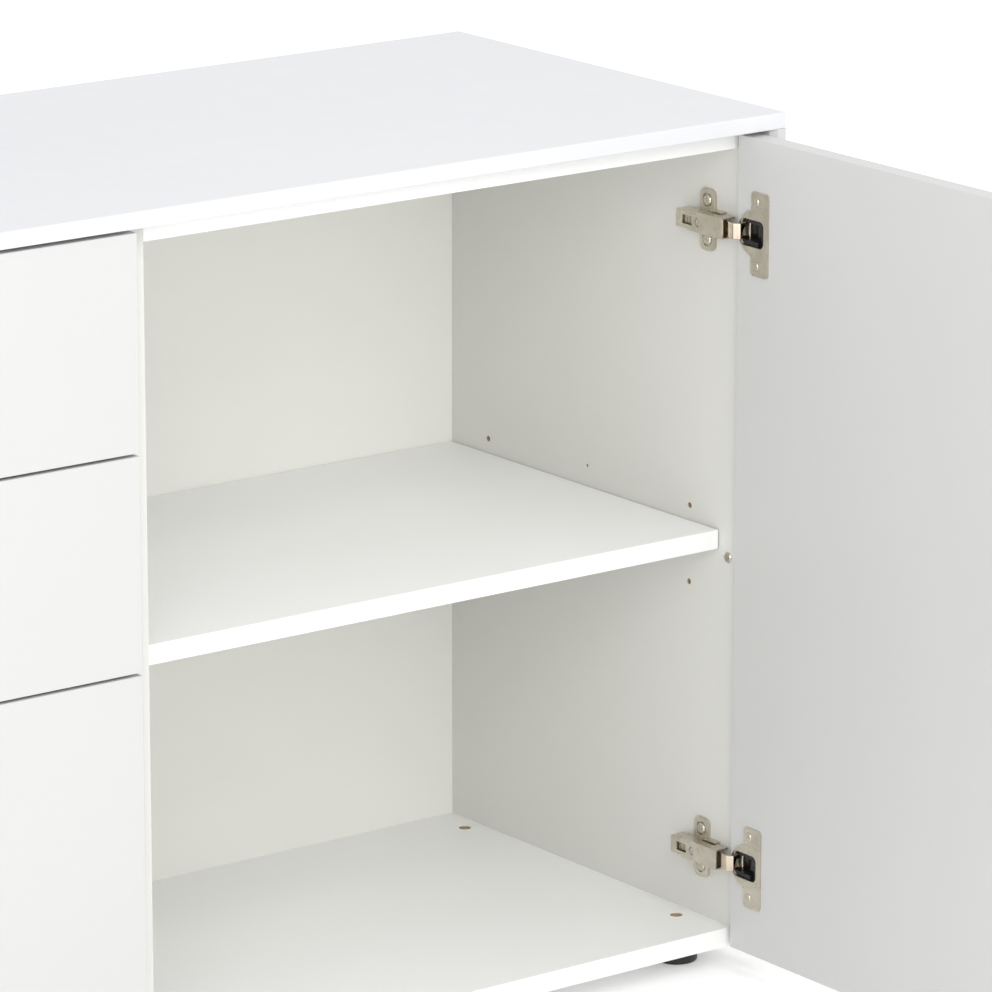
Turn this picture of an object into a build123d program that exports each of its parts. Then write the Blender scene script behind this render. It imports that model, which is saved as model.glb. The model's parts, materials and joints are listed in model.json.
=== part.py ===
from build123d import *
import math
import os

# Sideboard: a drawer module on the left, a door module on the right, joined side by side
# and wrapped by a top plate and two side cheeks. Millimetres, +Z up, front towards -Y.
# X = 0 is the joint between the two modules, Z = 0 the floor, and Y = 0 the middle of the
# depth with the door standing open at a right angle, which is the rest position.

# ---- driving dimensions ----
module_width = 600.0
board = 16.0
skin = 13.0
opening_height = 649.0
foot_height = 22.0
carcass_depth = 400.0
skin_depth = 431.6
skin_ahead = 21.6
cheek_chamfer = 5.0

back_thickness = 3.0
back_setback = 381.0
back_tongue = 6.0
groove_play = 0.1

front_thickness = 16.0
front_reveal = 1.5
hinge_side_reveal = 2.5
front_gap = 2.3
front_top_gap = 3.5
front_bottom_gap = 1.5
front_standoff = 2.5
small_front_height = 166.9

shelf_top = 332.0
shelf_setback = 20.5
shelf_side_play = 1.0

pin_radius = 2.5
pin_row_front = 59.0
pin_row_back = 330.0
pin_pitch = 32.0
pin_middle = 312.0
pin_hole_depth = 12.0
cheek_screw_height = 311.0

hinge_heights = (59.5, 585.0)
hinge_line = 37.0
plate_screw_pitch = 32.0
cup_centre = 21.5
cup_radius = 17.5
cup_depth = 12.0
cup_screw_line = 24.6
cup_screw_pitch = 52.0
cup_plate = (18.6, 40.2)
cup_plate_height = 68.0
cup_mouth = (5.1, 34.4)
cup_mouth_height = 22.0
cup_floor = 0.8
cup_wall = 0.5
link_half_height = 6.3
wing_width = 18.6
wing_height = 50.5
wing_thickness = 2.6
wing_sink = 1.2
arm_half_height = 8.4
arm_wall = 1.2
arm_depth = 16.0
cam_line = 33.0

open_door_face = -5.5
open_door_edge = -4.0
link_pin_edge = 8.0
link_pin_depth = 7.0
link_turn = -0.15

foot_inset_side = 16.5
foot_rows = (51.0, 341.0)
foot_radius = 17.5
foot_pad_radius = 16.3
foot_stem_radius = 4.0
access_hole_radius = 5.25
pilot_hole = (194.0, 349.0)

drawer_board = 12.0
drawer_side_gap = 13.0
drawer_depth = 350.0
drawer_floor = 6.0
drawer_floor_rise = 10.0
drawer_slot_depth = 6.0
drawer_rise = 22.0
drawer_clearance = 12.0
drawer_top_drop = 42.0
runner_rise = 24.0
runner_wall = 1.2
fixed_rail = (10.5, 22.5)
moving_rail = (9.0, 17.0)

# ---- derived places ----
door_width = module_width - 2 * front_reveal
overhang_back = skin_depth - skin_ahead
front_y = (door_width - open_door_edge - overhang_back) / 2
bottom_z = foot_height
floor_z = bottom_z + board
ceiling_z = floor_z + opening_height
carcass_top = ceiling_z + board
total_height = carcass_top + skin
side_face = module_width - board
front_low = bottom_z + front_bottom_gap
front_high = carcass_top - front_top_gap
back_y = front_y + back_setback
rear_y = front_y + carcass_depth

os.makedirs("parts", exist_ok=True)


def save(name, *shapes):
    whole = shapes[0] if len(shapes) == 1 else Compound(children=list(shapes))
    export_step(whole, f"parts/{name}.step")


def slab(x, y, z):
    """Box between the two limits given for each axis."""
    size = (x[1] - x[0], y[1] - y[0], z[1] - z[0])
    centre = ((x[0] + x[1]) / 2, (y[0] + y[1]) / 2, (z[0] + z[1]) / 2)
    return Pos(*centre) * Box(*size)


def rod(start, direction, radius, length):
    """Round bar from a start point along a direction."""
    align = (Align.CENTER, Align.CENTER, Align.MIN)
    return Plane(origin=start, z_dir=direction) * Cylinder(radius, length, align=align)


def cone(start, direction, low_radius, high_radius, length):
    align = (Align.CENTER, Align.CENTER, Align.MIN)
    return Plane(origin=start, z_dir=direction) * Cone(low_radius, high_radius, length, align=align)


def plan_prism(points, low, high):
    """Upright prism over an outline in plan."""
    face = make_face(Polyline(*points, close=True))
    return Pos(0, 0, low) * extrude(face, high - low, dir=(0, 0, 1))


def solid_of(shape):
    """The one solid of a boolean result."""
    return shape.solids()[0]


# ---- top plate and cheeks ----
def make_skin():
    half = module_width + skin
    y = (front_y - skin_ahead, front_y + overhang_back)
    save("top_plate", slab((-half, half), y, (carcass_top, total_height)))
    inner = module_width
    corner = y[0] + cheek_chamfer
    outline = [(inner, corner), (inner + cheek_chamfer, y[0]), (half, y[0]), (half, y[1]), (inner, y[1])]
    for name, sign in (("cheek_left", -1), ("cheek_right", 1)):
        points = [(sign * px, py) for px, py in outline]
        body = plan_prism(points, bottom_z, carcass_top)
        for y0, z0 in cheek_screw_places():
            body -= rod((sign * (inner - 1), y0, z0), (sign, 0, 0), 1.6, 9.0)
        save(name, solid_of(body))


def cheek_screw_places():
    height = floor_z + cheek_screw_height
    return [(front_y + 9.0, height), (front_y + back_setback - 9.0, height)]


# ---- module carcasses ----
def back_groove(x, z):
    low = back_y - groove_play
    return slab(x, (low, back_y + back_thickness + groove_play), z)


def side_board(outer, inner, holes):
    """Upright board from its outer to its inner face, grooved for the back, with drilled holes."""
    sign = 1 if inner > outer else -1
    x = (min(outer, inner), max(outer, inner))
    body = slab(x, (front_y, rear_y), (bottom_z, carcass_top))
    tongue = back_tongue + 0.5
    gx = sorted((inner + sign, inner - sign * tongue))
    low = floor_z - tongue
    body -= back_groove(gx, (low, ceiling_z + tongue))
    for y0, z0, radius, depth in holes:
        start = (inner + sign, y0, z0)
        body -= rod(start, (-sign, 0, 0), radius, depth + 1.0)
    return solid_of(body)


def shelf_pin_places():
    middle = floor_z + pin_middle
    rows = (front_y + pin_row_front, front_y + pin_row_back)
    return [(y0, middle + step * pin_pitch) for y0 in rows for step in (-1, 0, 1)]


def door_side_holes(with_hinges):
    holes = [(y0, z0, pin_radius, pin_hole_depth) for y0, z0 in shelf_pin_places()]
    holes.append((front_y + pilot_hole[0], floor_z + pilot_hole[1], 1.5, 8.0))
    if with_hinges:
        for z0 in hinge_heights:
            for step in (-0.5, 0.5):
                z1 = floor_z + z0 + step * plate_screw_pitch
                holes.append((front_y + hinge_line, z1, 2.5, 13.0))
    return holes


def runner_screw_holes():
    rows = (front_y + 37.0, front_y + 37.0 + 8 * pin_pitch)
    return [(y0, runner_height(k), 2.0, 11.0) for y0 in rows for k in range(3)]


def make_side_boards():
    screws = [(y0, z0, 2.4, board + 1.0) for y0, z0 in cheek_screw_places()]
    joins = [(y0, z0, 2.6, board + 1.0) for y0, z0 in module_screw_places()]
    save("door_module_right_side", side_board(module_width, side_face, door_side_holes(True) + screws))
    save("door_module_left_side", side_board(0.0, board, door_side_holes(False) + joins))
    save("drawer_module_right_side", side_board(0.0, -board, runner_screw_holes() + joins))
    save("drawer_module_left_side", side_board(-module_width, -side_face, runner_screw_holes() + screws))


def module_screw_places():
    rows = (front_y + 19.0, rear_y - 35.0)
    return [(y0, z0) for y0 in rows for z0 in (floor_z + 200.0, floor_z + 450.0)]


def foot_places(side):
    near = board + foot_inset_side
    columns = (side * near, side * (module_width - near))
    return [(x0, front_y + y0) for x0 in columns for y0 in foot_rows]


def make_flat_boards():
    for name, side in (("drawer", -1), ("door", 1)):
        x = sorted((side * board, side * side_face))
        y = (front_y, rear_y)
        lower = slab(x, y, (bottom_z, floor_z))
        upper = slab(x, y, (ceiling_z, carcass_top))
        lower -= back_groove(x, (floor_z - back_tongue - 0.5, floor_z + 1.0))
        upper -= back_groove(x, (ceiling_z - 1.0, ceiling_z + back_tongue + 0.5))
        for x0, y0 in foot_places(side):
            lower -= rod((x0, y0, bottom_z - 1), (0, 0, 1), access_hole_radius, board + 2)
        save(f"{name}_module_bottom", solid_of(lower))
        save(f"{name}_module_top", solid_of(upper))
        xb = (x[0] - back_tongue, x[1] + back_tongue)
        zb = (floor_z - back_tongue, ceiling_z + back_tongue)
        save(f"{name}_module_back", slab(xb, (back_y, back_y + back_thickness), zb))


def make_shelf():
    x = (board + shelf_side_play, side_face - shelf_side_play)
    y = (front_y + shelf_setback, back_y - 0.5)
    top = floor_z + shelf_top
    save("shelf", slab(x, y, (top - board, top)))
    pins = []
    for face, sign in ((board, 1), (side_face, -1)):
        for row in (pin_row_front, pin_row_back):
            start = (face - sign * 10.0, front_y + row, floor_z + pin_middle)
            stem = rod(start, (sign, 0, 0), pin_radius, 18.0)
            collar = rod((face, start[1], start[2]), (sign, 0, 0), 4.0, 8.0)
            pins.append(solid_of(stem + collar))
    save("shelf_pins", *pins)


def board_screw(face, y0, z0, sign, head, shank, length):
    """Cross-recess screw whose head sits on a board face at x = face; it runs along -sign."""
    axis = (-sign, 0, 0)
    thick = 1.4
    body = cone((face + sign * thick, y0, z0), axis, head - 0.9, head, thick)
    body += rod((face, y0, z0), axis, shank, length)
    top = face + sign * thick
    for dy, dz in ((0.6, 2.4), (2.4, 0.6)):
        body -= slab(sorted((top + sign, top - sign * 1.0)), (y0 - dy, y0 + dy), (z0 - dz, z0 + dz))
    return solid_of(body)


def make_panel_screws():
    cheek = []
    for face, sign in ((side_face, -1), (-side_face, 1)):
        for y0, z0 in cheek_screw_places():
            cheek.append(board_screw(face, y0, z0, sign, 4.5, 1.6, 23.0))
    save("cheek_screws", *cheek)
    joins = []
    for y0, z0 in module_screw_places():
        joins.append(board_screw(-board, y0, z0, -1, 5.0, 2.5, 31.0))
    save("module_screws", *joins)


# ---- levelling feet ----
def make_feet():
    sockets = []
    names = ("inner_front", "inner_back", "outer_front", "outer_back")
    for module, side in (("drawer", -1), ("door", 1)):
        for name, (x0, y0) in zip(names, foot_places(side)):
            disc = rod((x0, y0, 1.2), (0, 0, 1), foot_radius, 4.8)
            disc += cone((x0, y0, 0), (0, 0, 1), foot_pad_radius, foot_radius, 1.2)
            disc += cone((x0, y0, 6.0), (0, 0, 1), foot_radius, 10.0, 2.0)
            stem = rod((x0, y0, 7.0), (0, 0, 1), foot_stem_radius, 26.0)
            foot = disc + stem
            foot -= slab((x0 - 3, x0 + 3), (y0 - 0.6, y0 + 0.6), (31.4, 34))
            save(f"foot_{module}_{name}", solid_of(foot))
            ring = rod((x0, y0, 12.0), (0, 0, 1), 15.0, bottom_z - 12.0)
            ring += rod((x0, y0, 8.4), (0, 0, 1), 9.0, 4.0)
            ring -= rod((x0, y0, 8.0), (0, 0, 1), foot_stem_radius + 0.05, bottom_z)
            sockets.append(solid_of(ring))
    save("foot_sockets", *sockets)


# ---- drawers ----
def front_spans():
    """Lower and upper edge of each drawer front, from the top one down."""
    first = front_high
    spans = []
    for _ in range(2):
        spans.append((first - small_front_height, first))
        first -= small_front_height + front_gap
    spans.append((front_low, first))
    return spans


def runner_height(index):
    low = front_spans()[index][0]
    return drawer_low(low) + runner_rise


def drawer_low(low):
    """Underside of a drawer box from the lower edge of its front."""
    return max(low + drawer_rise, floor_z + drawer_clearance)


def make_drawers():
    inner = (-side_face, -board)
    box = (inner[0] + drawer_side_gap, inner[1] - drawer_side_gap)
    y0 = front_y - front_standoff
    for name, (low, high) in zip(("top", "middle", "bottom"), front_spans()):
        x = (-module_width + front_reveal, -front_reveal)
        save(f"drawer_{name}_front", slab(x, (y0 - front_thickness, y0), (low, high)))
        base = drawer_low(low)
        top = high - drawer_top_drop
        deep = (y0, y0 + drawer_depth)
        sides = []
        plate_z = (base + drawer_floor_rise, base + drawer_floor_rise + drawer_floor)
        slot_z = (plate_z[0] - groove_play, plate_z[1] + groove_play)
        for outer, inward in ((box[0], 1), (box[1], -1)):
            edge = outer + inward * drawer_board
            side = slab(sorted((outer, edge)), deep, (base, top))
            slot = sorted((edge + inward, edge - inward * (drawer_slot_depth + 0.5)))
            side -= slab(slot, (deep[0] - 1, deep[1] + 1), slot_z)
            sides.append(solid_of(side))
        save(f"drawer_{name}_sides", *sides)
        across = (box[0] + drawer_board, box[1] - drawer_board)
        rear = (deep[1] - drawer_board, deep[1])
        save(f"drawer_{name}_back", slab(across, rear, (plate_z[1] + 0.2, top)))
        plate = (across[0] - drawer_slot_depth, across[1] + drawer_slot_depth)
        save(f"drawer_{name}_bottom", slab(plate, deep, plate_z))


def runner_section(face, sign, size, z0, y):
    """C-shaped rail: a web against a face and two lips; size is its reach and half height."""
    reach, half = size
    rail = slab(sorted((face, face + sign * runner_wall)), y, (z0 - half, z0 + half))
    for end in (z0 - half, z0 + half - runner_wall):
        rail += slab(sorted((face, face + sign * reach)), y, (end, end + runner_wall))
    return solid_of(rail)


def make_runners():
    inner = (-side_face, -board)
    y_fixed = (front_y + 2.0, front_y + 2.0 + drawer_depth)
    y_moving = (front_y + 1.0, front_y + 1.0 + drawer_depth - 6.0)
    fixed = []
    for index, name in enumerate(("top", "middle", "bottom")):
        z0 = runner_height(index)
        moving = []
        for face, sign in ((inner[0], 1), (inner[1], -1)):
            fixed.append(runner_section(face, sign, fixed_rail, z0, y_fixed))
            far = face + sign * drawer_side_gap
            moving.append(runner_section(far, -sign, moving_rail, z0, y_moving))
        save(f"drawer_{name}_runners", *moving)
    save("cabinet_runners", *fixed)


def make_ejectors():
    """Push-to-open units behind each drawer: a fixed housing and a sprung plunger."""
    x0 = -module_width / 2
    tip = front_y - front_standoff + drawer_depth + 0.6
    housings = []
    for index, name in enumerate(("top", "middle", "bottom")):
        z0 = runner_height(index) + 20.0
        case = slab((x0 - 9, x0 + 9), (tip + 6, back_y), (z0 - 8, z0 + 8))
        case -= rod((x0, tip + 5, z0), (0, 1, 0), 4.3, 18.0)
        housings.append(solid_of(case))
        plunger = rod((x0, tip, z0), (0, 1, 0), 4.0, 18.0)
        plunger += cone((x0, tip - 0.1, z0), (0, 1, 0), 3.2, 4.0, 0.8)
        save(f"push_plunger_{name}", solid_of(plunger))
    save("push_housings", *housings)


# ---- door ----
def door_x(depth):
    return side_face + open_door_face + depth


def door_y(edge):
    return front_y + open_door_edge - edge


def make_door():
    ease = 1.2
    outline = [(0, ease), (ease, 0), (front_thickness - ease, 0), (front_thickness, ease)]
    outline += [(front_thickness, door_width), (0, door_width)]
    points = [(door_x(depth), door_y(edge)) for depth, edge in outline]
    panel = plan_prism(points, front_low, front_high)
    for height in hinge_heights:
        z0 = floor_z + height
        panel -= rod((door_x(-1), door_y(cup_centre), z0), (1, 0, 0), cup_radius, cup_depth + 1.5)
        for step in (-0.5, 0.5):
            start = (door_x(-1), door_y(cup_screw_line), z0 + step * cup_screw_pitch)
            panel -= rod(start, (1, 0, 0), 1.6, 11.0)
    save("door_panel", solid_of(panel))


def cup_flange_outline(z0):
    """Cup flange seen from the cabinet side: an upright plate with a round lobe."""
    plane = Plane(origin=(door_x(0), door_y(0), z0), x_dir=(0, -1, 0), z_dir=(-1, 0, 0))
    lobe = Pos(cup_centre, 0) * Circle(cup_radius + 0.9)
    plate = upright(cup_plate, cup_plate_height, 3.5)
    return plane, lobe + plate


def upright(span, height, radius):
    """Rounded rectangle between two distances from the door's edge."""
    return Pos(sum(span) / 2, 0) * RectangleRounded(span[1] - span[0], height, radius)


def make_cup(name, z0):
    plane, outline = cup_flange_outline(z0)
    flange = extrude(plane * outline, 1.2, dir=(-1, 0, 0))
    centre = (door_x(0), door_y(cup_centre), z0)
    cup = flange + rod(centre, (1, 0, 0), cup_radius - 0.05, cup_depth)
    cup -= rod(centre, (1, 0, 0), cup_radius - 0.05 - cup_wall, cup_depth - cup_floor)
    mouth = plane * upright(cup_mouth, cup_mouth_height, 5.0)
    cup -= extrude(mouth, 1.4, dir=(-1, 0, 0))
    cup -= extrude(mouth, 0.5, dir=(1, 0, 0))
    pin_half = 9.6
    cup += rod((door_x(link_pin_depth), door_y(link_pin_edge), z0 - pin_half), (0, 0, 1), 1.0, 2 * pin_half)
    for step in (-0.5, 0.5):
        y1, z1 = door_y(cup_screw_line), z0 + step * cup_screw_pitch
        cup -= rod((door_x(-3), y1, z1), (1, 0, 0), 2.0, 4.0)
    save(name, solid_of(cup))


def make_damper(z0):
    """Plastic insert that fills the cup beside, behind and under the channel for the link."""
    start = (door_x(1.0), door_y(cup_centre), z0)
    insert = rod(start, (1, 0, 0), cup_radius - 0.25 - cup_wall, cup_depth - cup_floor - 1.05)
    half = link_half_height + 0.9
    insert -= slab((door_x(-1), door_x(10.85)), (door_y(26.0), door_y(0)), (z0 - half, z0 + half))
    insert -= rod((door_x(link_pin_depth), door_y(link_pin_edge), z0 - 11), (0, 0, 1), 1.2, 22)
    insert -= slab((door_x(-1), door_x(4.0)), (door_y(30.5), door_y(25.0)), (z0 - 11, z0 - 2))
    return solid_of(insert)


def cup_screw(z0, step):
    y1, z1 = door_y(cup_screw_line), z0 + step * cup_screw_pitch
    start = (door_x(-1.9), y1, z1)
    screw = cone(start, (1, 0, 0), 3.4, 3.9, 0.65) + rod(start, (1, 0, 0), 1.5, 11.0)
    return cross_cut(screw, start[0], y1, z1, 1.9)


def cross_cut(screw, face, y1, z1, reach):
    for dy, dz in ((0.45, reach), (reach, 0.45)):
        screw -= slab((face - 1.0, face + 0.5), (y1 - dy, y1 + dy), (z1 - dz, z1 + dz))
    return solid_of(screw)


def link_pin():
    """Place in plan, at rest, of the pin in the cup."""
    return (door_x(link_pin_depth), door_y(link_pin_edge))


def arm_pin():
    """Place in plan of the pin in the arm, from the door's open and closed positions.

    The link turns by link_turn times the door's quarter turn, and must carry the cup pin from
    its place with the door open to its place with the door closed.
    """
    ox, oy = link_pin()
    cx = module_width - hinge_side_reveal - link_pin_edge
    cy = front_y - front_standoff - link_pin_depth
    turn = -link_turn * math.pi / 2
    c, s = math.cos(turn), math.sin(turn)
    rx, ry = cx - (c * ox - s * oy), cy - (s * ox + c * oy)
    det = (1 - c) ** 2 + s ** 2
    return (((1 - c) * rx - s * ry) / det, (s * rx + (1 - c) * ry) / det)


def make_link(name, z0):
    """Gooseneck link: an upright strap from the arm pin, forked where it enters the cup."""
    half = link_half_height
    ax, ay = arm_pin()
    bx, by = link_pin()
    sx, sy = side_face, front_y
    path = [(ax, ay), (sx - 11.5, sy + 2.0), (sx - 12.5, sy - 8.0)]
    path += [(sx - 9.5, sy - 12.4), (sx - 3.0, sy - 13.2), (bx, by)]
    line = FilletPolyline(*path, radius=1.6)
    strap = extrude(trace(line, line_width=1.6), 2 * half, dir=(0, 0, 1))
    link = Pos(0, 0, z0 - half) * strap
    link += rod((ax, ay, z0 - half), (0, 0, 1), 2.6, 2 * half)
    link += rod((bx, by, z0 - half), (0, 0, 1), 1.9, 2 * half)
    link -= slab((sx - 8.6, bx + 3.0), (by - 4.5, by + 4.5), (z0 - 3.8, z0 + 3.8))
    link -= rod((ax, ay, z0 - 9), (0, 0, 1), 1.55, 18)
    link -= rod((bx, by, z0 - 9), (0, 0, 1), 1.06, 18)
    save(name, solid_of(link))


def make_arm(name, z0):
    """Channel arm with its open side to the board, a slotted window and the front pivot pin."""
    half = arm_half_height
    wall = arm_wall
    outer = side_face - arm_depth
    y = (front_y + 2.0, front_y + 60.0)
    arm = slab((outer, side_face - 2.6), y, (z0 - half, z0 + half))
    arm -= slab((outer + wall, side_face), (y[0] - 1, y[1] - wall), (z0 - half + wall, z0 + half - wall))
    waist = (front_y + 46.0, y[1] + 1)
    for side in (-1, 1):
        outside = sorted((z0 + side * (half - wall), z0 + side * (half + 1)))
        inside = sorted((z0 + side * (half - 2 * wall), z0 + side * (half - wall)))
        arm -= slab((outer - 1, side_face), waist, outside)
        arm += slab((outer, side_face - 2.6), (front_y + 44.0, y[1]), inside)
    arm -= slab((side_face - 8.0, side_face), (front_y + 14.0, front_y + 30.0), (z0 - 20, z0 + 20))
    arm -= slab((outer - 1, outer + 3), (front_y + 40.0, front_y + 52.5), (z0 - 3.6, z0 + 3.6))
    arm -= rod((outer - 1, front_y + cam_line, z0), (1, 0, 0), 3.4, 3.0)
    ax, ay = arm_pin()
    arm += rod((ax, ay, z0 - half + 0.4), (0, 0, 1), 1.5, 2 * half - 0.8)
    save(name, solid_of(arm))


def make_mounting_plate(name, z0):
    """Cruciform plate: two upright wings on the board and a saddle that the arm clips onto."""
    y0 = front_y + hinge_line
    plane = Plane(origin=(side_face, y0, z0), x_dir=(0, -1, 0), z_dir=(-1, 0, 0))
    wings = extrude(plane * RectangleRounded(wing_width, wing_height, 5.5), wing_thickness, dir=(-1, 0, 0))
    clip = slab((side_face - 6.5, side_face), (front_y + 15.0, front_y + 29.0), (z0 - 9.8, z0 + 9.8))
    saddle = slab((side_face - 9.6, side_face), (y0 - 22.0, y0 + 17.0), (z0 - 5.6, z0 + 5.6))
    ramp = slab((side_face - 5.4, side_face), (y0 - 24.0, y0 + 6.0), (z0 - 6.6, z0 + 6.6))
    plate = wings + ramp + saddle + clip
    for step in (-0.5, 0.5):
        z1 = z0 + step * plate_screw_pitch
        plate -= rod((side_face + 1, y0, z1), (-1, 0, 0), 2.6, 6.0)
        plate -= rod((side_face - wing_thickness - 1, y0, z1), (1, 0, 0), 5.7, 1 + wing_sink)
    save(name, solid_of(plate))


def plate_screw(z1):
    y0 = front_y + hinge_line
    face = side_face - wing_thickness + wing_sink - 2.2
    head = cone((face, y0, z1), (1, 0, 0), 3.9, 4.9, 1.0) + rod((face + 1.0, y0, z1), (1, 0, 0), 4.9, 1.2)
    screw = head + rod((face, y0, z1), (1, 0, 0), 2.45, 15.4)
    return cross_cut(screw, face, y0, z1, 2.6)


def arm_adjusters(z0):
    """Cam screw and serrated depth screw that show through the arm's web."""
    y0 = front_y + cam_line
    face = side_face - arm_depth + 0.4
    cam = cross_cut(rod((face, y0, z0), (1, 0, 0), 3.1, 5.6), face, y0, z0, 2.0)
    face += 1.8
    serrated = slab((face, face + 3.2), (front_y + 40.8, front_y + 51.6), (z0 - 3.2, z0 + 3.2))
    for index in range(5):
        y1 = front_y + 42.2 + index * 2.0
        serrated -= slab((face - 1, face + 1.4), (y1 - 0.45, y1 + 0.45), (z0 - 4, z0 + 4))
    return [cam, solid_of(serrated)]


def make_hinges():
    cup_screws, plate_screws, adjusters, dampers = [], [], [], []
    for name, height in zip(("lower", "upper"), hinge_heights):
        z0 = floor_z + height
        make_mounting_plate(f"hinge_plate_{name}", z0)
        make_arm(f"hinge_arm_{name}", z0)
        make_link(f"hinge_link_{name}", z0)
        make_cup(f"hinge_cup_{name}", z0)
        dampers.append(make_damper(z0))
        adjusters += arm_adjusters(z0)
        for step in (-0.5, 0.5):
            cup_screws.append(cup_screw(z0, step))
            plate_screws.append(plate_screw(z0 + step * plate_screw_pitch))
    save("hinge_dampers", *dampers)
    save("hinge_adjusters", *adjusters)
    save("hinge_cup_screws", *cup_screws)
    save("hinge_plate_screws", *plate_screws)


make_skin()
make_side_boards()
make_flat_boards()
make_shelf()
make_panel_screws()
make_feet()
make_drawers()
make_runners()
make_ejectors()
make_door()
make_hinges()
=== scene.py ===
import json
import math

import bmesh
import bpy
from mathutils import Matrix, Vector


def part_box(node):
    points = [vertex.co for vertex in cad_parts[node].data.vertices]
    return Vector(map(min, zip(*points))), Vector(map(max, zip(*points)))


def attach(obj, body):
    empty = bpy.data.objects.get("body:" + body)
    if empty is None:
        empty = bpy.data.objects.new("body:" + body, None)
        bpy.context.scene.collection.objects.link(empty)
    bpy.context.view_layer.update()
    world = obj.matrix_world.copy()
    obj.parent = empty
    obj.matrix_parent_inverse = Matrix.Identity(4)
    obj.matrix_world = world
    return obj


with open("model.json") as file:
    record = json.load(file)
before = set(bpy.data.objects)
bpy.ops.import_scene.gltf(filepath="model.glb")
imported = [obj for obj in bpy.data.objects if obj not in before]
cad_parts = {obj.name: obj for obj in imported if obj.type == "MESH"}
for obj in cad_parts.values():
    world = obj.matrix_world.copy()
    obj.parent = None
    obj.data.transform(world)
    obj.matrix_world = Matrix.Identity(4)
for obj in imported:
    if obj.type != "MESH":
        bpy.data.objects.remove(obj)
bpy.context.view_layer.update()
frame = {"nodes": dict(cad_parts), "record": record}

scene = bpy.context.scene
nodes_by_name = frame["nodes"]

MM = 0.001

# Noise textures rarely leave this band, so tones and roughness are spread across it.
NOISE_LOW = 0.3
NOISE_HIGH = 0.7

# ---------------------------------------------------------------- camera
CAMERA_PLACE = (-2.4805, -3.6338, 1.6874)
CAMERA_YAW = math.radians(37.125)
CAMERA_PITCH = math.radians(14.922)
CAMERA_ROLL = 0.0011
CAMERA_LENS = 225.76
CAMERA_SENSOR = 36.0
CAMERA_REACH = 100.0


def make_camera():
    data = bpy.data.cameras.new("camera")
    data.lens = CAMERA_LENS
    data.sensor_width = CAMERA_SENSOR
    data.clip_end = CAMERA_REACH
    camera = bpy.data.objects.new("camera", data)
    scene.collection.objects.link(camera)
    turn = Matrix.Rotation(-CAMERA_YAW, 4, "Z") @ Matrix.Rotation(math.pi / 2 - CAMERA_PITCH, 4, "X")
    camera.matrix_world = Matrix.Translation(CAMERA_PLACE) @ turn @ Matrix.Rotation(CAMERA_ROLL, 4, "Z")
    scene.camera = camera


# ---------------------------------------------------------------- node helpers
class Graph:
    """A material's node tree with short calls for the nodes that the surfaces here need."""

    def __init__(self, name):
        self.material = bpy.data.materials.new(name)
        self.material.use_nodes = True
        self.tree = self.material.node_tree
        self.shader = self.tree.nodes["Principled BSDF"]
        self.place = self.new("ShaderNodeTexCoord").outputs["Object"]

    def new(self, kind, **settings):
        node = self.tree.nodes.new(kind)
        for key, value in settings.items():
            setattr(node, key, value)
        return node

    def link(self, source, target):
        self.tree.links.new(source, target)

    def stretched(self, scale):
        node = self.new("ShaderNodeMapping")
        node.inputs["Scale"].default_value = scale
        self.link(self.place, node.inputs["Vector"])
        return node.outputs["Vector"]

    def noise(self, scale, detail=3.0, roughness=0.5, vector=None):
        node = self.new("ShaderNodeTexNoise")
        node.inputs["Scale"].default_value = scale
        node.inputs["Detail"].default_value = detail
        node.inputs["Roughness"].default_value = roughness
        self.link(vector or self.place, node.inputs["Vector"])
        return node.outputs["Fac"]

    def voronoi(self, scale, vector=None):
        node = self.new("ShaderNodeTexVoronoi")
        node.inputs["Scale"].default_value = scale
        self.link(vector or self.place, node.inputs["Vector"])
        return node.outputs["Distance"]

    def ramp(self, value, stops):
        node = self.new("ShaderNodeValToRGB")
        elements = node.color_ramp.elements
        while len(elements) < len(stops):
            elements.new(0.5)
        for element, (position, colour) in zip(elements, stops):
            element.position = position
            element.color = (*colour, 1.0)
        self.link(value, node.inputs["Fac"])
        return node.outputs["Color"]

    def spread(self, value, low, high):
        node = self.new("ShaderNodeMapRange")
        node.inputs["From Min"].default_value = NOISE_LOW
        node.inputs["From Max"].default_value = NOISE_HIGH
        node.inputs["To Min"].default_value = low
        node.inputs["To Max"].default_value = high
        self.link(value, node.inputs["Value"])
        return node.outputs["Result"]

    def mix(self, factor, first, second):
        node = self.new("ShaderNodeMix", data_type="RGBA")
        for socket, value in ((node.inputs[0], factor), (node.inputs[6], first), (node.inputs[7], second)):
            if isinstance(value, bpy.types.NodeSocket):
                self.link(value, socket)
            elif isinstance(value, (int, float)):
                socket.default_value = value
            else:
                socket.default_value = (*value, 1.0)
        return node.outputs[2]

    def math(self, operation, first, second=0.0):
        node = self.new("ShaderNodeMath", operation=operation)
        for socket, value in zip(node.inputs, (first, second)):
            if isinstance(value, bpy.types.NodeSocket):
                self.link(value, socket)
            else:
                socket.default_value = value
        return node.outputs[0]

    def axis(self, name):
        node = self.new("ShaderNodeSeparateXYZ")
        self.link(self.place, node.inputs[0])
        return node.outputs[name]

    def bump(self, height, strength, distance, onto=None):
        node = self.new("ShaderNodeBump")
        node.inputs["Strength"].default_value = strength
        node.inputs["Distance"].default_value = distance
        self.link(height, node.inputs["Height"])
        if onto is not None:
            self.link(onto, node.inputs["Normal"])
        return node.outputs["Normal"]

    def finish(self, colour, roughness, normal=None):
        self.link(colour, self.shader.inputs["Base Color"])
        self.link(roughness, self.shader.inputs["Roughness"])
        if normal is not None:
            self.link(normal, self.shader.inputs["Normal"])
        return self.material


# ---------------------------------------------------------------- materials
SEAM_HALF_WIDTH = 0.12 * MM
SEAM_STRENGTH = 0.35
BAND_THICKNESS = 1.0 * MM


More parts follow.
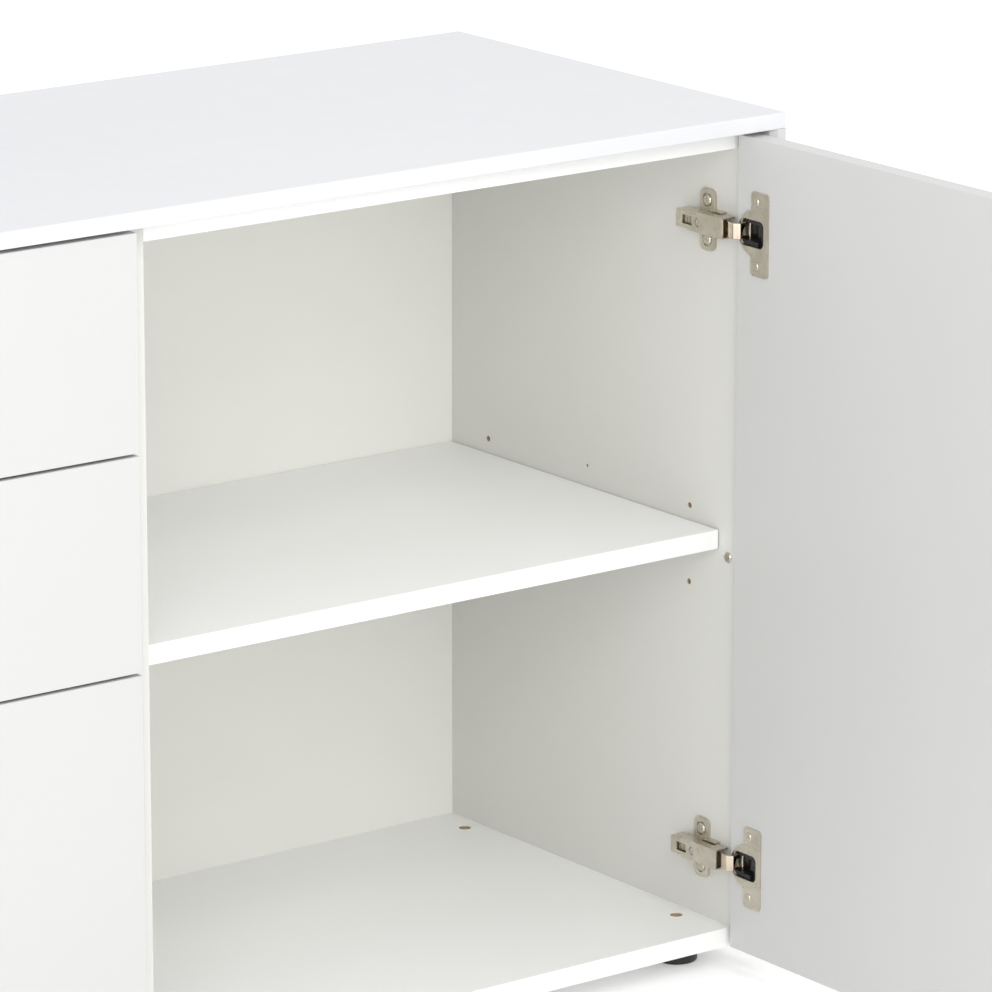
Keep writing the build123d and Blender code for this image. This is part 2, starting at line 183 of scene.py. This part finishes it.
def board_material(name, colour, roughness, shade=0.012, pearl=0.05, seam=None):
    """Melamine-faced board: pearl grain in the bump, cloudy tone, and a faint edge-band joint."""
    graph = Graph(name)
    cloud = graph.noise(2.2, 4.0, 0.55)
    dark = tuple(c * (1.0 - shade) for c in colour)
    light = tuple(min(1.0, c * (1.0 + shade * 0.6)) for c in colour)
    tone = graph.ramp(cloud, [(NOISE_LOW, dark), (NOISE_HIGH, light)])
    fibre = graph.noise(60.0, 5.0, 0.6)
    tone = graph.mix(0.05, tone, graph.ramp(fibre, [(0.35, dark), (0.65, light)]))
    if seam is not None:
        offset = graph.math("ABSOLUTE", graph.math("SUBTRACT", graph.axis("Y"), seam))
        line = graph.math("LESS_THAN", offset, SEAM_HALF_WIDTH)
        tone = graph.mix(graph.math("MULTIPLY", line, SEAM_STRENGTH), tone, tuple(c * 0.8 for c in colour))
    grain = graph.noise(900.0, 3.0, 0.6)
    peel = graph.voronoi(420.0)
    height = graph.math("ADD", grain, graph.math("MULTIPLY", peel, 0.5))
    normal = graph.bump(height, pearl, 0.15 * MM)
    rough = graph.spread(graph.noise(35.0, 4.0, 0.6), roughness - 0.04, roughness + 0.05)
    graph.shader.inputs["Specular IOR Level"].default_value = 0.35
    return graph.finish(tone, rough, normal)


def metal_material(name, colour, roughness, brush=(1.0, 1.0, 1.0), brushed=0.25, reflection_tint=None):
    """Plated steel: fine brush lines, cloudy plating and small pits, plus patches of painted warm reflection
    where a tint colour is given.
    """
    graph = Graph(name)
    cloud = graph.noise(70.0, 4.0, 0.6)
    dark = tuple(c * 0.86 for c in colour)
    light = tuple(min(1.0, c * 1.08) for c in colour)
    tone = graph.ramp(cloud, [(NOISE_LOW, dark), (NOISE_HIGH, light)])
    # Patches of the given colour are painted reflection: the warm brown the nickel mirrors from its
    # surroundings.
    if reflection_tint is not None:
        band = graph.noise(45.0, 2.0, 0.5)
        tone = graph.mix(graph.spread(band, 0.0, 0.55), tone, reflection_tint)
    lines = graph.noise(500.0, 3.0, 0.7, graph.stretched(brush))
    pits = graph.noise(2400.0, 2.0, 0.6)
    normal = graph.bump(lines, brushed, 0.05 * MM)
    normal = graph.bump(pits, 0.12, 0.03 * MM, normal)
    rough = graph.spread(graph.noise(160.0, 4.0, 0.6), roughness - 0.06, roughness + 0.08)
    graph.shader.inputs["Metallic"].default_value = 1.0
    return graph.finish(tone, rough, normal)


def plastic_material(name, colour, roughness, grain=0.2):
    """Moulded plastic with a spark-eroded grain."""
    graph = Graph(name)
    cloud = graph.noise(25.0, 4.0, 0.6)
    dark = tuple(c * 0.85 for c in colour)
    light = tuple(min(1.0, c * 1.15 + 0.004) for c in colour)
    tone = graph.ramp(cloud, [(NOISE_LOW, dark), (NOISE_HIGH, light)])
    spark = graph.noise(1500.0, 2.0, 0.5)
    normal = graph.bump(spark, grain, 0.08 * MM)
    rough = graph.spread(graph.noise(90.0, 3.0, 0.5), roughness - 0.05, roughness + 0.07)
    return graph.finish(tone, rough, normal)


def chipboard_material():
    """Raw pressed wood chips in the wall of a drilled hole."""
    graph = Graph("chipboard")
    chips = graph.voronoi(900.0, graph.stretched((1.0, 1.0, 2.2)))
    wood = [(0.1, (0.30, 0.19, 0.10)), (0.5, (0.50, 0.36, 0.22)), (0.9, (0.66, 0.51, 0.34))]
    dust = [(0.35, (0.22, 0.13, 0.06)), (0.65, (0.70, 0.56, 0.38))]
    speck = graph.noise(1600.0, 4.0, 0.7)
    tone = graph.mix(0.35, graph.ramp(chips, wood), graph.ramp(speck, dust))
    normal = graph.bump(chips, 0.8, 0.4 * MM)
    rough = graph.spread(speck, 0.8, 0.95)
    return graph.finish(tone, rough, normal)


def floor_material():
    graph = Graph("studio_floor")
    cloud = graph.noise(0.6, 2.0, 0.5)
    tone = graph.ramp(cloud, [(0.3, (0.955, 0.955, 0.955)), (0.7, (0.97, 0.97, 0.97))])
    rough = graph.spread(graph.noise(3.0, 2.0, 0.5), 0.75, 0.85)
    graph.shader.inputs["Specular IOR Level"].default_value = 0.1
    graph.shader.inputs["Emission Color"].default_value = (1.0, 1.0, 1.0, 1.0)
    graph.shader.inputs["Emission Strength"].default_value = 0.15
    return graph.finish(tone, rough)


front_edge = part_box("door_module_bottom")[0][1]
band_seam = front_edge + BAND_THICKNESS

materials = {
    "white_top": board_material("white_top", (0.680, 0.688, 0.705), 0.42),
    # The fronts' tone is darker than the carcass white of the same board: painted shade that holds down the
    # strongly lit fronts.
    "white_front": board_material("white_front", (0.585, 0.585, 0.580), 0.40),
    "white_carcass": board_material("white_carcass", (0.900, 0.905, 0.890), 0.45, seam=band_seam),
    "white_back": board_material("white_back", (0.900, 0.898, 0.850), 0.60, 0.02, 0.12),
    "drawer_board": board_material("drawer_board", (0.78, 0.78, 0.75), 0.5, 0.02, 0.1),
    "nickel": metal_material("nickel", (0.66, 0.615, 0.53), 0.30, (1.0, 0.12, 1.0)),
    # The brown last colour of bright_nickel is painted reflection, mixed in as patches.
    "bright_nickel": metal_material("bright_nickel", (0.80, 0.72, 0.60), 0.14, (1.0, 1.0, 0.2), 0.1,
                                    (0.40, 0.21, 0.09)),
    "damper_plastic": plastic_material("damper_plastic", (0.012, 0.011, 0.012), 0.35),
    "runner_steel": metal_material("runner_steel", (0.62, 0.64, 0.66), 0.38, (1.0, 0.05, 1.0)),
    "foot_plastic": plastic_material("foot_plastic", (0.018, 0.018, 0.02), 0.45, 0.35),
    "grey_plastic": plastic_material("grey_plastic", (0.60, 0.61, 0.62), 0.45),
    "screw_steel": metal_material("screw_steel", (0.62, 0.58, 0.50), 0.26),
}
chipboard = chipboard_material()
# The side boards get a darker copy of the carcass white: painted shade for the upright faces, which the
# lamps light less than the shelf and bottom.
painted_shade_upright_board = board_material("painted_shade_upright_board", (0.690, 0.688, 0.655), 0.45, seam=band_seam)


# ---------------------------------------------------------------- finish of the CAD nodes
BOARD_SLOTS = ("white_top", "white_front", "white_carcass", "white_back", "drawer_board")
UPRIGHT_NODES = ("door_module_left_side", "door_module_right_side",
                 "drawer_module_left_side", "drawer_module_right_side")
BOARD_EASE = 0.8 * MM
METAL_EASE = 0.22 * MM
EASE_SEGMENTS = 2
EASE_ANGLE = math.radians(35)
FLAT_ANGLE = math.radians(0.5)
WELD_REACH = 0.01 * MM


def soften_edges(obj, width):
    """Join flat facets into whole faces first, so that only real edges are rounded."""
    weld = obj.modifiers.new("weld", "WELD")
    weld.merge_threshold = WELD_REACH
    planes = obj.modifiers.new("planes", "DECIMATE")
    planes.decimate_type = "DISSOLVE"
    planes.angle_limit = FLAT_ANGLE
    bevel = obj.modifiers.new("ease", "BEVEL")
    bevel.width = width
    bevel.segments = EASE_SEGMENTS
    bevel.limit_method = "ANGLE"
    bevel.angle_limit = EASE_ANGLE
    normals = obj.modifiers.new("normals", "WEIGHTED_NORMAL")
    normals.keep_sharp = True


def dress_nodes():
    slots = {entry["node"]: entry["material_slot"] for entry in frame["record"]["subparts"]}
    for name, obj in nodes_by_name.items():
        slot = slots[name]
        obj.data.materials.clear()
        # Upright sides take the painted-shade copy of the board white.
        obj.data.materials.append(painted_shade_upright_board if name in UPRIGHT_NODES else materials[slot])
        width = BOARD_EASE if slot in BOARD_SLOTS else METAL_EASE
        soften_edges(obj, width)


# ---------------------------------------------------------------- extra pieces
HOLE_SEGMENTS = 40
LINING = 0.25 * MM
LINING_PLAY = 0.04 * MM
RIM_DEPTH = 0.5 * MM
RIM_RIPPLE = 0.06 * MM
WALL_RIPPLE = 0.08 * MM


def ring(bm, turn, radius, depth, ripple=0.0):
    """Circle of vertices at a depth along the hole; ripple roughens the torn chips."""
    points = []
    for step in range(HOLE_SEGMENTS):
        angle = 2 * math.pi * step / HOLE_SEGMENTS
        reach = radius + ripple * math.sin(5 * angle) * math.sin(11 * angle + 1.0)
        points.append(bm.verts.new(turn @ Vector((reach * math.cos(angle), reach * math.sin(angle), depth))))
    return points


def bridge(bm, first, second):
    for step in range(HOLE_SEGMENTS):
        after = (step + 1) % HOLE_SEGMENTS
        bm.faces.new((first[step], first[after], second[after], second[step]))


def add_lining(bm, mouth, direction, radius, depth, blind):
    """Raw board seen in the wall of a drilled hole, and on its floor if the hole is blind."""
    turn = Matrix.Translation(mouth) @ Vector(direction).to_track_quat("Z", "Y").to_matrix().to_4x4()
    outside = radius - LINING_PLAY
    inside = outside - LINING
    near, far = RIM_DEPTH, depth - RIM_DEPTH
    inner_far = far - LINING if blind else far
    outer_top = ring(bm, turn, outside, near)
    inner_top = ring(bm, turn, inside, near, RIM_RIPPLE)
    inner_middle = ring(bm, turn, inside, (near + inner_far) / 2, WALL_RIPPLE)
    inner_low = ring(bm, turn, inside, inner_far, RIM_RIPPLE)
    outer_low = ring(bm, turn, outside, far)
    bridge(bm, outer_top, inner_top)
    bridge(bm, inner_top, inner_middle)
    bridge(bm, inner_middle, inner_low)
    bridge(bm, outer_low, outer_top)
    if blind:
        bm.faces.new(inner_low)
        bm.faces.new(tuple(reversed(outer_low)))
    else:
        bridge(bm, inner_low, outer_low)


def hole_linings(name, holes):
    mesh = bpy.data.meshes.new(name)
    bm = bmesh.new()
    for hole in holes:
        add_lining(bm, *hole)
    bmesh.ops.recalc_face_normals(bm, faces=bm.faces)
    bm.to_mesh(mesh)
    bm.free()
    obj = bpy.data.objects.new(name, mesh)
    scene.collection.objects.link(obj)
    mesh.materials.append(chipboard)
    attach(obj, "cabinet")


ACCESS_RADIUS = 5.25 * MM
PIN_RADIUS = 2.5 * MM
PIN_DEPTH = 12.0 * MM
PIN_ROWS = (59.0 * MM, 330.0 * MM)
PIN_STEP = 32.0 * MM
PIN_MIDDLE = 312.0 * MM
PILOT_RADIUS = 1.5 * MM
PILOT_DEPTH = 8.0 * MM
PILOT_PLACE = (194.0 * MM, 349.0 * MM)


def make_hole_linings():
    """Chipboard in the feet's access holes and in the free holes of the door module's sides."""
    for module in ("door", "drawer"):
        low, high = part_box(f"{module}_module_bottom")
        thickness = high[2] - low[2]
        holes = []
        for inset in ("inner", "outer"):
            for row in ("front", "back"):
                foot_low, foot_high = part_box(f"foot_{module}_{inset}_{row}")
                centre = (Vector(foot_low) + Vector(foot_high)) / 2
                mouth = (centre.x, centre.y, high[2])
                holes.append((mouth, (0.0, 0.0, -1.0), ACCESS_RADIUS, thickness, False))
        hole_linings(f"{module}_module_access_holes", holes)
    board_low, board_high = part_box("door_module_bottom")
    for side, face, inward in (("left", board_low[0], -1.0), ("right", board_high[0], 1.0)):
        holes = []
        for row in PIN_ROWS:
            for step in (-1, 1):
                mouth = (face, front_edge + row, board_high[2] + PIN_MIDDLE + step * PIN_STEP)
                holes.append((mouth, (inward, 0.0, 0.0), PIN_RADIUS, PIN_DEPTH, True))
        mouth = (face, front_edge + PILOT_PLACE[0], board_high[2] + PILOT_PLACE[1])
        holes.append((mouth, (inward, 0.0, 0.0), PILOT_RADIUS, PILOT_DEPTH, True))
        hole_linings(f"door_module_{side}_pin_holes", holes)


# ---------------------------------------------------------------- stage and light
FLOOR_REACH = 30.0
WORLD_COLOUR = (0.995, 0.997, 1.0, 1.0)
LIGHT_TARGET = (0.3, 0.0, 0.35)
AREA_LIGHTS = (
    # name, place, size, power, colour
    ("key", (-2.2, -3.2, 2.0), (2.4, 1.8), 52.0, (1.0, 0.99, 0.985)),
    ("over", (0.3, -3.0, 3.4), (3.0, 1.6), 48.0, (1.0, 1.0, 1.0)),
)


def make_stage():
    mesh = bpy.data.meshes.new("floor")
    turns = ((-1, -1), (1, -1), (1, 1), (-1, 1))
    corners = [(x * FLOOR_REACH, y * FLOOR_REACH, 0.0) for x, y in turns]
    mesh.from_pydata(corners, [], [(0, 1, 2, 3)])
    floor = bpy.data.objects.new("floor", mesh)
    scene.collection.objects.link(floor)
    mesh.materials.append(floor_material())


def area_light(name, place, size, power, colour):
    data = bpy.data.lights.new(name, "AREA")
    data.shape = "RECTANGLE"
    data.size, data.size_y = size
    data.energy = power
    data.color = colour
    light = bpy.data.objects.new(name, data)
    scene.collection.objects.link(light)
    aim = (Vector(LIGHT_TARGET) - Vector(place)).to_track_quat("-Z", "Y")
    light.matrix_world = Matrix.Translation(place) @ aim.to_matrix().to_4x4()


def make_light():
    world = bpy.data.worlds.new("studio")
    scene.world = world
    world.use_nodes = True
    background = world.node_tree.nodes["Background"]
    background.inputs["Color"].default_value = WORLD_COLOUR
    background.inputs["Strength"].default_value = 1.0
    for light in AREA_LIGHTS:
        area_light(*light)


scene.view_settings.view_transform = "Standard"
scene.view_settings.look = "None"
make_camera()
dress_nodes()
make_hole_linings()
make_stage()
make_light()
